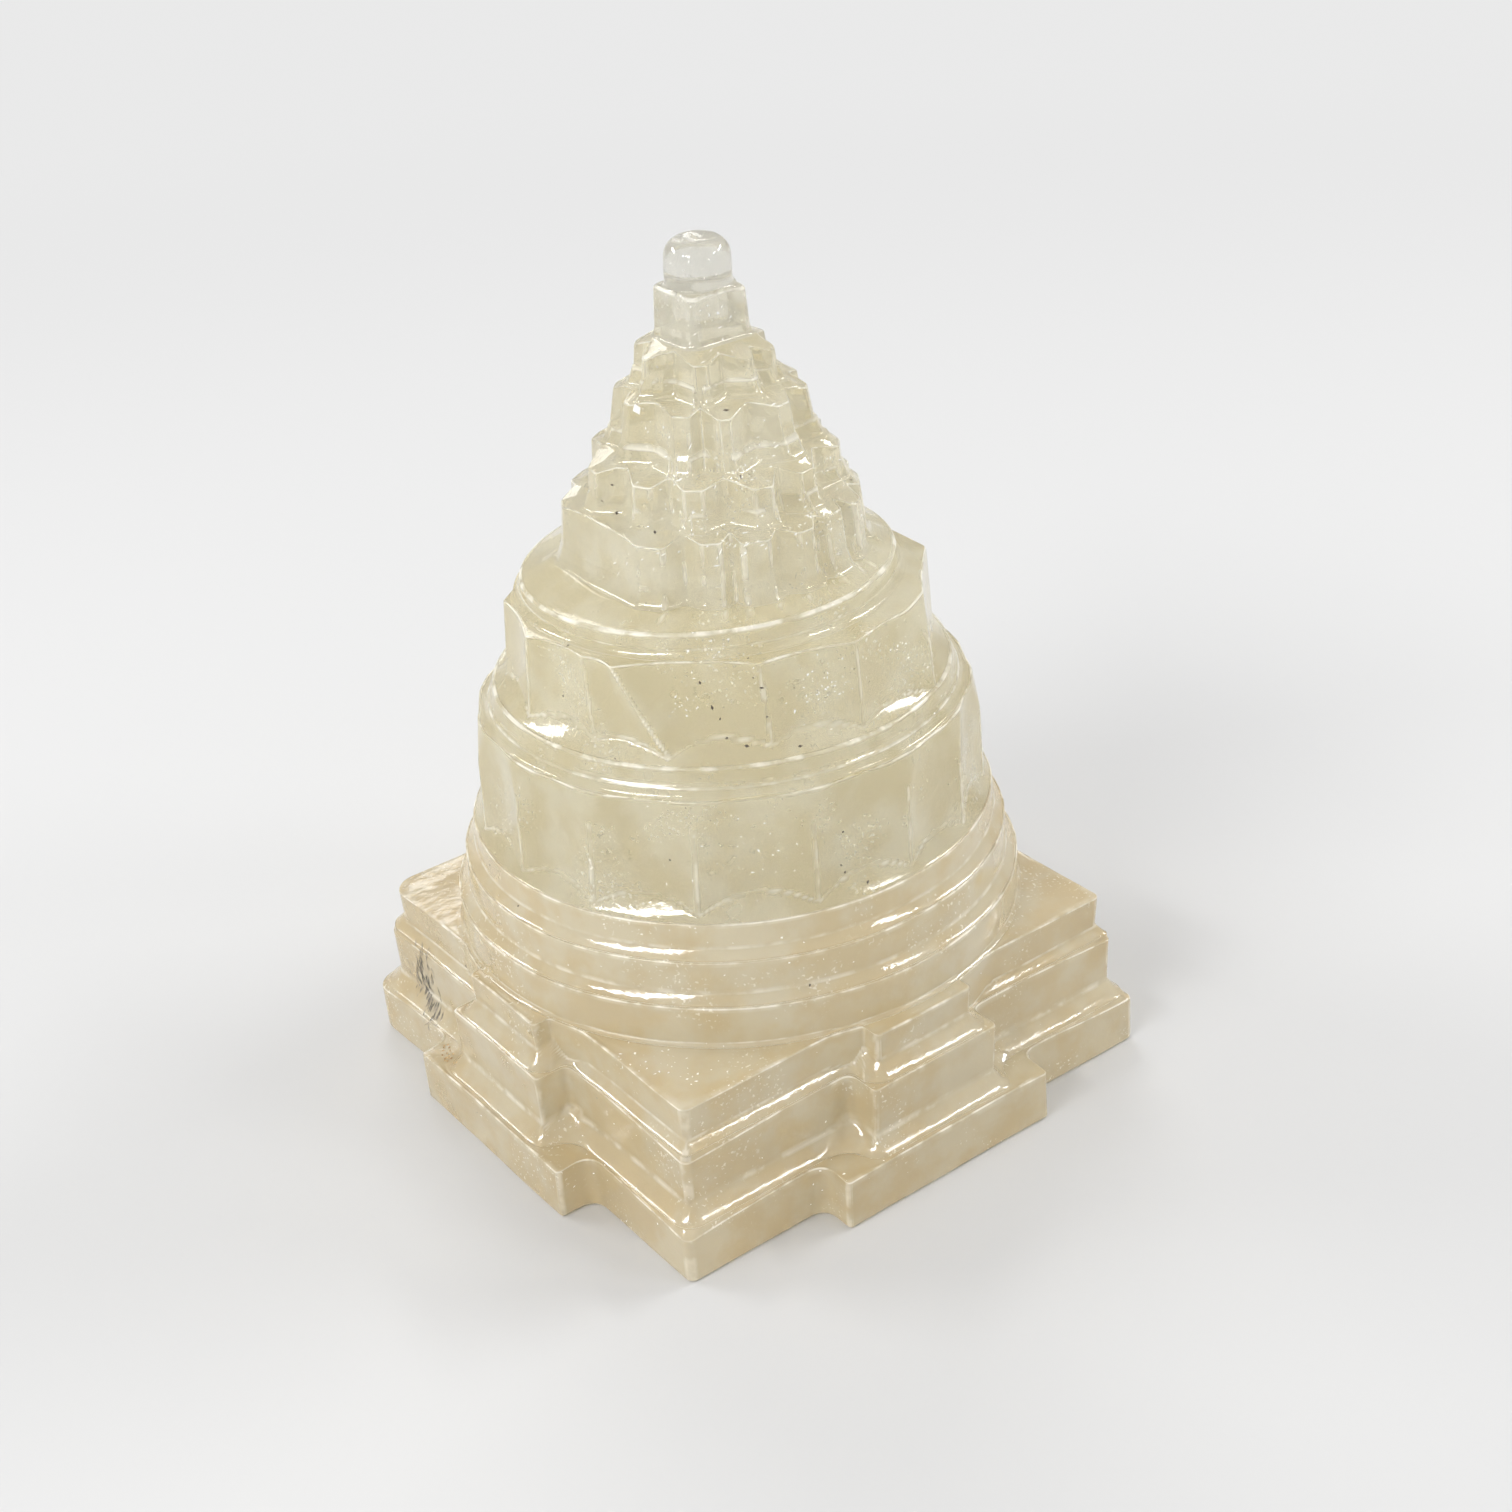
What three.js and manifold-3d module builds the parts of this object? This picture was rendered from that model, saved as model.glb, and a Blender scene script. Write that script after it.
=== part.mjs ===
// Meru shri yantra, carved in rock crystal: sixteen tiers, stacked on one vertical axis.
// Millimetres, +Z up. The origin is the centre of the underside. The gates face X and Y,
// and the front of the object is its -Y side.
//
// From the bottom up it has three square steps with a gate in each side, three rings, a lotus
// of sixteen petals, a round plate, a lotus of eight petals, a second round plate, four star
// tiers with 14, 10, 10 and 8 points, a square seat, and the bindu, the round drop on top.

import * as THREE from 'three';
import { mergeVertices } from 'three/addons/utils/BufferGeometryUtils.js';
import Module from 'manifold-3d';

const wasm = await Module();
wasm.setup();

// Driving dimensions

const BASE_SIDE = 60;         // lowest square step, without its gates
const SMOOTH = 72;            // sides given to a full circle
const SEAM = 1e-4;            // vertices closer than this are one

// Heights of the tiers, from the bottom up
const STEP_HEIGHTS = [6.0, 7.5, 4.8];
const RING_HEIGHTS = [4.4, 4.5, 3.6];
const PETAL_16_HEIGHT = 12.7;
const LOWER_PLATE_HEIGHT = 2.85;
const PETAL_8_HEIGHT = 9.6;
const UPPER_PLATE_HEIGHT = 3.45;
const STAR_HEIGHTS = [6.6, 4.65, 6.0, 4.5];
const SEAT_HEIGHT = 4.95;
const BINDU_HEIGHT = 4.95;

// The stone is cut by hand and a little uneven. Its round tiers are ground flatter on the side of
// the -X -Y corner, and one corner of the steps, at -X +Y, is worn round and stands out a little.
const FLAT_BEARING = 235;
const WORN_CORNER = 3.0;
const WORN_CORNER_OUT = 0.9;

// Square steps: half a side, and the gate in the middle of each side
const STEP_HALF_SIDES = [BASE_SIDE / 2, 28.35, 27.4];
const GATE_HALF_WIDTHS = [13.4, 8.2, 6.2];
const GATE_REACH = [34.1, 32.2, 30.6];      // from the axis to the gate's outer face
const GATE_FILLETS = [1.8, 0.9, 0.6];       // inner corner where a gate leaves its side
const STEP_CORNER = 1.0;                    // rounding of the three sound corners

// Rings: radius at the foot and at the top, and the soft edges that the wheel leaves
const RING_FOOT_RADII = [30.2, 29.1, 28.1];
const RING_TOP_RADII = [30.1, 28.8, 27.5];
const RING_FLAT = 1.7;        // how much flatter a ring is at FLAT_BEARING
const COVE = 0.55;            // hollow where a wall rises from the tread below
const SOFT_EDGE = 0.45;       // rounding of a ring's top edge

// Lotus tiers: petals between upright corners. Each corner has its bearing at the foot, its
// bearing at the top and its radius at the foot. A cone trims the petals' upper corners, and a
// steep skirt at their feet runs out to the edge of the tier below.
const even = (bearings, radius) => bearings.map((bearing) => [bearing, bearing, radius]);
const LOTUS_16 = {
  corners: even([4, 26, 48, 70, 91, 113, 135, 157, 179, 201, 226, 253, 278, 299, 321, 342], 26.7),
  lean: 0.3, cone: [28.3, 25.7], skirt: [26.9, 25.6, 1.7], flat: 1.6,
};
// Three of the eight petals have a second facet, and one corner is cut aslant.
const LOTUS_8 = {
  corners: [
    [16, 16, 21.8], [60, 60, 21.8], [105, 105, 21.6], [150, 150, 22.2], [174, 174, 22.5],
    [199, 195, 21.9], [221, 205, 22.5], [247, 245, 22.0], [272, 272, 22.6], [300, 300, 23.5],
    [335, 335, 22.6],
  ],
  lean: 0.7, cone: [24.6, 21.7], skirt: [23.2, 21.2, 1.8], flat: 0.7,
};

// Round plates: radius at the foot and the top, and how much flatter at FLAT_BEARING
const LOWER_PLATE = { foot: 24.4, top: 23.7, flat: 1.1 };
const UPPER_PLATE = { foot: 19.2, top: 18.8, flat: 0.8, shift: [-0.5, 0.35] };
const UPPER_PLATE_SHOULDER = 1.6;

// Star tiers: bearings of their points, radius to the points and to the valleys at the foot,
// taper of the walls, radius where the tread begins to fall, and how far the tier is off centre
const STARS = [
  { tips: [12, 38, 64, 92, 120, 150, 211, 234, 251, 272, 290, 306, 326, 348],
    tip: 15.5, valley: 13.8, taper: 0.960, tread: 13.0, flat: 0.6, shift: [0.25, -0.15] },
  { tips: [34, 78, 124, 168, 203, 228, 259, 285, 322, 357],
    tip: 12.8, valley: 10.8, taper: 0.975, tread: 10.5, flat: 0.4, shift: [0.55, -0.35] },
  { tips: [28, 62, 98, 136, 176, 221, 247, 288, 321, 352],
    tip: 10.2, valley: 8.4, taper: 0.900, tread: 7.5, flat: 0.2, shift: [0.75, -0.5] },
  { tips: [38, 88, 138, 182, 237, 279, 309, 352],
    tip: 7.2, valley: 5.5, taper: 0.920, tread: 5.0, flat: 0, shift: [0.5, -0.3] },
];
const TIP_FLAT = 5;           // degrees of a point that are cut flat at its tip
const TREAD_FALL = 25;        // degrees that a star's tread falls towards its points

// Seat and bindu
const SEAT_HALF_SIDES = [3.6, 3.4];
const SEAT_CORNER = 1.3;
const SEAT_LIP = 0.5;
const TOP_SHIFT = [0.55, -0.35];    // how far the seat and bindu stand off centre
const BINDU_RADIUS = 3.25;
const BINDU_CROWN = 1.9;      // radius of the rounded shoulder of the bindu
const BINDU_RISE = 0.35;      // how much the middle of its top stands above the shoulder

// Solids

// A geometry as a solid, with the vertices that its faces share joined.
function solidOf(geometry) {
  const bare = geometry.index ? geometry.toNonIndexed() : geometry.clone();
  bare.deleteAttribute('normal');
  bare.deleteAttribute('uv');
  const joined = mergeVertices(bare, SEAM);
  return new wasm.Manifold(new wasm.Mesh({
    numProp: 3,
    vertProperties: joined.attributes.position.array,
    triVerts: new Uint32Array(joined.index.array),
  }));
}

function geometryOf(solid) {
  const mesh = solid.getMesh();
  const geometry = new THREE.BufferGeometry();
  const positions = new THREE.Float32BufferAttribute(mesh.vertProperties, mesh.numProp);
  geometry.setAttribute('position', positions);
  geometry.setIndex(new THREE.Uint32BufferAttribute(mesh.triVerts, 1));
  geometry.computeVertexNormals();
  return geometry;
}

// A prism that stands on z = 0.
function prism(shape, height) {
  return new THREE.ExtrudeGeometry(shape, { depth: height, bevelEnabled: false, curveSegments: 6 });
}

// A round body that stands on z = 0, turned from a profile of [radius, height] points.
function turned(profile, sides = SMOOTH) {
  const points = profile.map(([radius, height]) => new THREE.Vector2(radius, height));
  return new THREE.LatheGeometry(points, sides).rotateX(Math.PI / 2);
}

// A body between two outlines with the same number of points, one above the other.
function loft(lower, upper, height) {
  const count = lower.length;
  const vertices = [];
  for (const { x, y } of lower) vertices.push(x, y, 0);
  for (const { x, y } of upper) vertices.push(x, y, height);
  const faces = [];
  for (const [a, b, c] of THREE.ShapeUtils.triangulateShape(lower, [])) {
    faces.push(c, b, a);
    faces.push(count + a, count + b, count + c);
  }
  for (let i = 0; i < count; i++) {
    const next = (i + 1) % count;
    faces.push(i, next, count + next, i, count + next, count + i);
  }
  const geometry = new THREE.BufferGeometry();
  geometry.setAttribute('position', new THREE.Float32BufferAttribute(vertices, 3));
  geometry.setIndex(faces);
  geometry.computeVertexNormals();
  return geometry;
}

const polar = (radius, degrees) => {
  const angle = THREE.MathUtils.degToRad(degrees);
  return new THREE.Vector2(radius * Math.cos(angle), radius * Math.sin(angle));
};

// Grinds a body flatter at FLAT_BEARING, by the depth `flat` at the radius `edge`.
function flattened(geometry, flat, edge) {
  const place = geometry.attributes.position;
  const middle = polar(1, FLAT_BEARING);
  for (let i = 0; i < place.count; i++) {
    const point = new THREE.Vector2(place.getX(i), place.getY(i));
    const facing = Math.max(0, point.dot(middle)) / (point.length() || 1);
    point.multiplyScalar(1 - flat * facing / edge);
    place.setXY(i, point.x, point.y);
  }
  return geometry;
}

// Square steps

// A square with rounded corners, from +X +Y round to +X -Y. The second one may stand out in -X.
function roundedSquare(half, corners, out = 0) {
  const shape = new THREE.Shape();
  corners.forEach((corner, side) => {
    const start = side * Math.PI / 2;
    const centre = polar((half - corner) * Math.SQRT2, 45 + 90 * side);
    if (side === 1) centre.x -= out;
    shape.absarc(centre.x, centre.y, corner, start, start + Math.PI / 2, false);
  });
  shape.closePath();
  return shape;
}

// The two opposite gates along X: a bar across the step, with a hollow corner at each side.
function gateBar(half, gateHalf, reach, fillet) {
  const shape = new THREE.Shape();
  shape.moveTo(reach, -gateHalf);
  shape.lineTo(reach, gateHalf);
  shape.lineTo(half + fillet, gateHalf);
  shape.absarc(half + fillet, gateHalf + fillet, fillet, -Math.PI / 2, -Math.PI, true);
  shape.lineTo(-half, gateHalf + fillet);
  shape.absarc(-half - fillet, gateHalf + fillet, fillet, 0, -Math.PI / 2, true);
  shape.lineTo(-reach, gateHalf);
  shape.lineTo(-reach, -gateHalf);
  shape.lineTo(-half - fillet, -gateHalf);
  shape.absarc(-half - fillet, -gateHalf - fillet, fillet, Math.PI / 2, 0, true);
  shape.lineTo(half, -gateHalf - fillet);
  shape.absarc(half + fillet, -gateHalf - fillet, fillet, Math.PI, Math.PI / 2, true);
  shape.closePath();
  return shape;
}

function squareStep(level) {
  const half = STEP_HALF_SIDES[level];
  const height = STEP_HEIGHTS[level];
  const bar = gateBar(half, GATE_HALF_WIDTHS[level], GATE_REACH[level], GATE_FILLETS[level]);
  const gates = solidOf(prism(bar, height));
  const corners = [STEP_CORNER, WORN_CORNER, STEP_CORNER, STEP_CORNER];
  let step = solidOf(prism(roundedSquare(half, corners, WORN_CORNER_OUT), height));
  step = step.add(gates).add(gates.rotate([0, 0, 90]));
  // The lowest ring is wider than the two upper squares, so their walls swell under it.
  if (half < RING_FOOT_RADII[0]) {
    const swell = RING_FOOT_RADII[0];
    const drum = turned([[0, 0], [swell, 0], [swell, height], [0, height]]);
    step = step.add(solidOf(flattened(drum, RING_FLAT, swell)));
  }
  return geometryOf(step);
}

// Rings and round plates

// A quarter circle as [radius, height] points, from one angle to another in degrees.
function quarter(centreRadius, centreHeight, size, from, to, steps = 3) {
  const points = [];
  for (let i = 0; i <= steps; i++) {
    const angle = THREE.MathUtils.degToRad(from + (to - from) * i / steps);
    points.push([centreRadius + size * Math.cos(angle), centreHeight + size * Math.sin(angle)]);
  }
  return points;
}

// A round wall with a cove at its foot and a soft top edge.
function roundTier(footRadius, topRadius, flat, height, cove, edge) {
  return flattened(turned([
    [0, 0],
    [footRadius, 0],
    ...quarter(footRadius, cove, cove, -90, -180).slice(1),
    ...quarter(topRadius - edge, height - edge, edge, 0, 90),
    [0, height],
  ]), flat, footRadius);
}

// Lotus tiers

// Flat petals in a ring, with a cone over their tops and a skirt round their feet.
function lotus({ corners, lean, cone, skirt, flat }, height) {
  const lower = corners.map(([bearing, , radius]) => polar(radius, bearing));
  const upper = corners.map(([, bearing, radius]) => polar(radius - lean, bearing));
  const edge = corners[0][2];
  const petals = flattened(loft(lower, upper, height), flat, edge);
  const trim = flattened(turned([[0, 0], [cone[0], 0], [cone[1], height], [0, height]]), flat, edge);
  const [out, inner, rise] = skirt;
  const foot = flattened(turned([[0, 0], [out, 0], [inner, rise], [0, rise]]), flat, edge);
  return geometryOf(solidOf(petals).intersect(solidOf(trim)).add(solidOf(foot)));
}

// Star tiers

// A star with its tips cut flat and a valley half-way between them.
function starOutline({ tips, tip, valley }, scale) {
  const outline = [];
  tips.forEach((bearing, i) => {
    const next = tips[(i + 1) % tips.length] + (i === tips.length - 1 ? 360 : 0);
    outline.push(polar(tip * scale, bearing - TIP_FLAT / 2));
    outline.push(polar(tip * scale, bearing + TIP_FLAT / 2));
    outline.push(polar(valley * scale, (bearing + next) / 2));
  });
  return outline;
}

function starTier(star, height) {
  const crown = loft(starOutline(star, 1), starOutline(star, star.taper), height);
  const fall = (star.tip - star.tread) * Math.tan(THREE.MathUtils.degToRad(TREAD_FALL));
  const rim = [[star.tip, 0], [star.tip, height - fall], [star.tread, height]];
  const tread = turned([[0, 0], ...rim, [0, height]]);
  const points = solidOf(flattened(crown, star.flat, star.tip));
  return geometryOf(points.intersect(solidOf(flattened(tread, star.flat, star.tip))));
}

// Seat and bindu

function bindu() {
  const shoulder = BINDU_HEIGHT - BINDU_RISE - BINDU_CROWN;
  return turned([
    [0, 0],
    [BINDU_RADIUS, 0],
    ...quarter(BINDU_RADIUS - BINDU_CROWN, shoulder, BINDU_CROWN, 0, 78, 6),
    [0, BINDU_HEIGHT],
  ], 48);
}

function seat() {
  const [foot, top] = SEAT_HALF_SIDES;
  const corners = new Array(4).fill(SEAT_CORNER);
  const lower = roundedSquare(foot, corners).getPoints(5);
  const waist = roundedSquare(top, corners).getPoints(5);
  const lipFoot = SEAT_HEIGHT - SEAT_LIP;
  const wall = solidOf(loft(open(lower), open(waist), lipFoot));
  const lip = solidOf(loft(open(waist), open(waist.map((p) => p.clone().multiplyScalar(0.9))), SEAT_LIP));
  return geometryOf(wall.add(lip.translate([0, 0, lipFoot])));
}

// A closed outline without its repeated points.
function open(points) {
  return points.filter((p, i) => p.distanceTo(points[(i + 1) % points.length]) > SEAM);
}

// The stack

const crystal = (tint, clear) => new THREE.MeshStandardMaterial({
  color: tint, roughness: 0.12, metalness: 0, transparent: true, opacity: clear,
});
const honeyCrystal = crystal(0xd6c3a0, 0.9);     // base, faintly pink and milky
const strawCrystal = crystal(0xd3c9a6, 0.88);    // middle
const paleCrystal = crystal(0xd2cdb8, 0.82);     // upper tiers, greyer and clearer
const clearCrystal = crystal(0xdad9d0, 0.6);     // seat and bindu, nearly clear

const yantra = new THREE.Group();
yantra.name = 'shri_yantra';
let level = 0;

// Each tier stands on the one below, which is flat under it.
function place(name, geometry, material, height, shift = [0, 0]) {
  const mesh = new THREE.Mesh(geometry, material);
  mesh.name = name;
  mesh.position.set(...shift, level);
  yantra.add(mesh);
  level += height;
}

['lower', 'middle', 'upper'].forEach((which, i) => {
  place(`square_step_${which}`, squareStep(i), honeyCrystal, STEP_HEIGHTS[i]);
});
['lower', 'middle', 'upper'].forEach((which, i) => {
  const height = RING_HEIGHTS[i];
  const ring = roundTier(RING_FOOT_RADII[i], RING_TOP_RADII[i], RING_FLAT, height, COVE, SOFT_EDGE);
  place(`ring_${which}`, ring, honeyCrystal, height);
});

place('lotus_sixteen_petals', lotus(LOTUS_16, PETAL_16_HEIGHT), strawCrystal, PETAL_16_HEIGHT);
place('round_plate_lower',
  roundTier(LOWER_PLATE.foot, LOWER_PLATE.top, LOWER_PLATE.flat, LOWER_PLATE_HEIGHT, COVE, SOFT_EDGE),
  strawCrystal, LOWER_PLATE_HEIGHT);
place('lotus_eight_petals', lotus(LOTUS_8, PETAL_8_HEIGHT), strawCrystal, PETAL_8_HEIGHT);
place('round_plate_upper',
  roundTier(UPPER_PLATE.foot, UPPER_PLATE.top, UPPER_PLATE.flat, UPPER_PLATE_HEIGHT, COVE,
    UPPER_PLATE_SHOULDER),
  strawCrystal, UPPER_PLATE_HEIGHT, UPPER_PLATE.shift);

['star_fourteen_points', 'star_ten_points_outer', 'star_ten_points_inner', 'star_eight_points']
  .forEach((name, i) => {
    place(name, starTier(STARS[i], STAR_HEIGHTS[i]), paleCrystal, STAR_HEIGHTS[i], STARS[i].shift);
  });

place('bindu_seat', seat(), clearCrystal, SEAT_HEIGHT, TOP_SHIFT);
place('bindu', bindu(), clearCrystal, BINDU_HEIGHT, TOP_SHIFT);

export default yantra;
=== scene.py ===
"""Looks of a meru shri yantra carved from one block of milky rock crystal.

The block is cut into sixteen tiers. They are made here from the top down, because the tread of
each tier runs in to the foot of the tier that it carries. Metres, in the frame's own axes.
"""

import math
import random

import bpy
import numpy as np
from mathutils import Matrix, Quaternion, Vector, noise
from mathutils.bvhtree import BVHTree


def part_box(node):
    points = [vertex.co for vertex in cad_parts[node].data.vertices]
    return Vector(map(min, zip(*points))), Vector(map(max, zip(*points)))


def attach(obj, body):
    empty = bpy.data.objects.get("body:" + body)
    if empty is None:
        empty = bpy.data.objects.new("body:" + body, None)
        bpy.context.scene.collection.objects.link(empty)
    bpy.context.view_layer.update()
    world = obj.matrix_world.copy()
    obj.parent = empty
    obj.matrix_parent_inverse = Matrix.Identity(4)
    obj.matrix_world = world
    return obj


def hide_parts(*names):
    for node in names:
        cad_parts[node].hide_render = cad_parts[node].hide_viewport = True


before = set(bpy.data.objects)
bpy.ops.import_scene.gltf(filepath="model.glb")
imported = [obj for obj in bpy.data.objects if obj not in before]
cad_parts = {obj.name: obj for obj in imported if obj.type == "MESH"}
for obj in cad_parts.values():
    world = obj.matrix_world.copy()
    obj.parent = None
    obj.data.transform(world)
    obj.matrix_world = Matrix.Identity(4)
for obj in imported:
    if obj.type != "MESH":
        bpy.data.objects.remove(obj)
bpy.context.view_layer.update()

# Camera. It looks down on the front corner from a little over twice the object's height away.
# Its place comes from fitting the steps, rings and axis to the photograph, 1512 pixels wide.
MM = 0.001
PHOTO_WIDTH = 1512
FOCAL_PIXELS = 2297
SENSOR = 36
VIEW_AZIMUTH = math.radians(-34.53)
VIEW_ELEVATION = math.radians(29.35)
VIEW_ROLL = math.radians(-4.51)
VIEW_PAN = math.radians(0.655)
VIEW_DISTANCE = 241.7 * MM
VIEW_AIM = Vector((0, 0, 34.6 * MM))

back = Vector((math.sin(VIEW_AZIMUTH) * math.cos(VIEW_ELEVATION),
               -math.cos(VIEW_AZIMUTH) * math.cos(VIEW_ELEVATION),
               math.sin(VIEW_ELEVATION)))
right = Vector((math.cos(VIEW_AZIMUTH), math.sin(VIEW_AZIMUTH), 0))
level_view = Matrix((right, back.cross(right), back))
pan = Matrix.Rotation(VIEW_PAN, 3, "Y")
roll = Matrix.Rotation(-VIEW_ROLL, 3, "Z")
camera_data = bpy.data.cameras.new("camera")
camera_data.sensor_width = SENSOR
camera_data.lens = FOCAL_PIXELS / PHOTO_WIDTH * SENSOR
camera = bpy.data.objects.new("camera", camera_data)
bpy.context.scene.collection.objects.link(camera)
camera.matrix_world = Matrix.Translation(VIEW_AIM + back * VIEW_DISTANCE) @ (
    (roll @ pan @ level_view).transposed().to_4x4())
bpy.context.scene.camera = camera

# Stage: a pale floor without an edge in view, five soft lamps, and a room that is pale above
# and greyer towards its walls, so that the crystal has something to bend and to mirror.
FLOOR_HALF = 4.0
FLOOR_DROP = 0.02 * MM
FLOOR_GREY = 0.64
FLOOR_ROUGHNESS = 0.7
FADE_FROM = 0.14
FADE_TO = 0.45
ROOM_LIGHT = 0.45
ROOM_WALLS = 0.50
ROOM_CEILING = 1.0
CEILING_FROM = 0.8
ROOM_BACK = 0.82

floor_mesh = bpy.data.meshes.new("floor")
floor_mesh.from_pydata(
    [(x * FLOOR_HALF, y * FLOOR_HALF, 0) for x, y in ((-1, -1), (1, -1), (1, 1), (-1, 1))],
    [], [(0, 1, 2, 3)])
floor = bpy.data.objects.new("floor", floor_mesh)
bpy.context.scene.collection.objects.link(floor)
floor.location.z = -FLOOR_DROP
floor_paint = bpy.data.materials.new("floor_paint")
floor_paint.use_nodes = True
floor_nodes = floor_paint.node_tree.nodes
floor_links = floor_paint.node_tree.links
floor_shader = floor_nodes["Principled BSDF"]
floor_shader.inputs["Base Color"].default_value = (FLOOR_GREY, FLOOR_GREY, FLOOR_GREY, 1)
floor_shader.inputs["Roughness"].default_value = FLOOR_ROUGHNESS
# Far from the stone the floor fades into the room, so no horizon shows.
distance = floor_nodes.new("ShaderNodeVectorMath")
distance.operation = "LENGTH"
floor_links.new(floor_nodes.new("ShaderNodeTexCoord").outputs["Object"], distance.inputs[0])
far = floor_nodes.new("ShaderNodeMapRange")
far.interpolation_type = "SMOOTHSTEP"
far.inputs["From Min"].default_value = FADE_FROM
far.inputs["From Max"].default_value = FADE_TO
floor_links.new(distance.outputs["Value"], far.inputs["Value"])
haze = floor_nodes.new("ShaderNodeEmission")
haze.inputs["Strength"].default_value = ROOM_BACK
fade = floor_nodes.new("ShaderNodeMixShader")
floor_links.new(far.outputs["Result"], fade.inputs[0])
floor_links.new(floor_shader.outputs[0], fade.inputs[1])
floor_links.new(haze.outputs[0], fade.inputs[2])
floor_links.new(fade.outputs[0], floor_nodes["Material Output"].inputs["Surface"])
floor_mesh.materials.append(floor_paint)

room = bpy.data.worlds.new("room")
room.use_nodes = True
room_nodes = room.node_tree.nodes
room_links = room.node_tree.links
light_path = room_nodes.new("ShaderNodeLightPath")
direction = room_nodes.new("ShaderNodeSeparateXYZ")
room_links.new(room_nodes.new("ShaderNodeTexCoord").outputs["Generated"], direction.inputs[0])
walls_to_ceiling = room_nodes.new("ShaderNodeMapRange")
walls_to_ceiling.inputs["From Max"].default_value = CEILING_FROM
walls_to_ceiling.inputs["To Min"].default_value = ROOM_WALLS
walls_to_ceiling.inputs["To Max"].default_value = ROOM_CEILING
room_links.new(direction.outputs["Z"], walls_to_ceiling.inputs["Value"])
bent = room_nodes.new("ShaderNodeMath")
bent.operation = "MAXIMUM"
room_links.new(light_path.outputs["Is Glossy Ray"], bent.inputs[0])
room_links.new(light_path.outputs["Is Transmission Ray"], bent.inputs[1])
indirect = room_nodes.new("ShaderNodeMapRange")
indirect.inputs["To Min"].default_value = ROOM_LIGHT
room_links.new(walls_to_ceiling.outputs["Result"], indirect.inputs["To Max"])
room_links.new(bent.outputs[0], indirect.inputs["Value"])
strength = room_nodes.new("ShaderNodeMapRange")
strength.inputs["To Max"].default_value = ROOM_BACK
room_links.new(indirect.outputs["Result"], strength.inputs["To Min"])
room_links.new(light_path.outputs["Is Camera Ray"], strength.inputs["Value"])
room_links.new(strength.outputs["Result"], room_nodes["Background"].inputs["Strength"])
room_nodes["Background"].inputs["Color"].default_value = (1, 1, 1, 1)
bpy.context.scene.world = room

# Name, place, width, height and power of each lamp
LAMPS = [
    ("lamp_left", (-0.50, -0.10, 0.40), 0.40, 0.06, 2.0),
    ("lamp_right", (0.50, -0.14, 0.38), 0.36, 0.06, 1.5),
    ("lamp_behind", (0.22, 0.42, 0.46), 0.30, 0.30, 0.9),
    ("lamp_back_left", (-0.31, 0.43, 0.38), 0.30, 0.07, 1.1),
    ("lamp_front_right", (0.31, -0.46, 0.40), 0.20, 0.05, 0.6),
]
for name, place, width, height, power in LAMPS:
    lamp_data = bpy.data.lights.new(name, "AREA")
    lamp_data.shape = "ELLIPSE"
    lamp_data.size = width
    lamp_data.size_y = height
    lamp_data.energy = power
    lamp = bpy.data.objects.new(name, lamp_data)
    bpy.context.scene.collection.objects.link(lamp)
    lamp.location = place
    lamp.rotation_euler = (Vector(place) - VIEW_AIM).to_track_quat("Z", "Y").to_euler()

bpy.context.scene.view_settings.view_transform = "Standard"

# Light scatters many times inside milky quartz before it comes out again.
bpy.context.scene.cycles.volume_bounces = 12
bpy.context.scene.cycles.transmission_bounces = 16
bpy.context.scene.cycles.max_bounces = 18
bpy.context.scene.cycles.transparent_max_bounces = 64


# Bindu: the round-topped drop that ends the stone. It is the clearest part of the crystal,
# turned on the wheel and polished all over.
BINDU_SHOULDER = 1.9 * MM
BINDU_RISE = 0.35 * MM
BINDU_TAPER = 0.03
BINDU_SKIRT = 0.25 * MM
TOP_SHIFT = (0.55 * MM, -0.35 * MM)
SEAM_GAP = 0.01 * MM
CREASE = 0.05 * MM
TREAD_DISH = 0.06 * MM
QUARTZ_IOR = 1.54
# Colour and roughness of the painted highlight on sharp edges
EDGE_HIGHLIGHT = (1.0, 0.98, 0.90)
EDGE_HIGHLIGHT_ROUGHNESS = 0.3
RIPPLE_HEIGHT = 0.12 * MM
FORWARD_SCATTER = 0.3
# Waves of noise to the metre of stone, in each of its marks
VEIL_WAVES = (90, 310)
POLISH_WAVES = 260
RIPPLE_WAVES = (420, 1900)
SCRATCH_WAVES = 7000
SCRATCHED_WAVES = 160
EDGE_HIGHLIGHT_WAVES = 330
GLINT_WAVES = (2700, 130)


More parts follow.
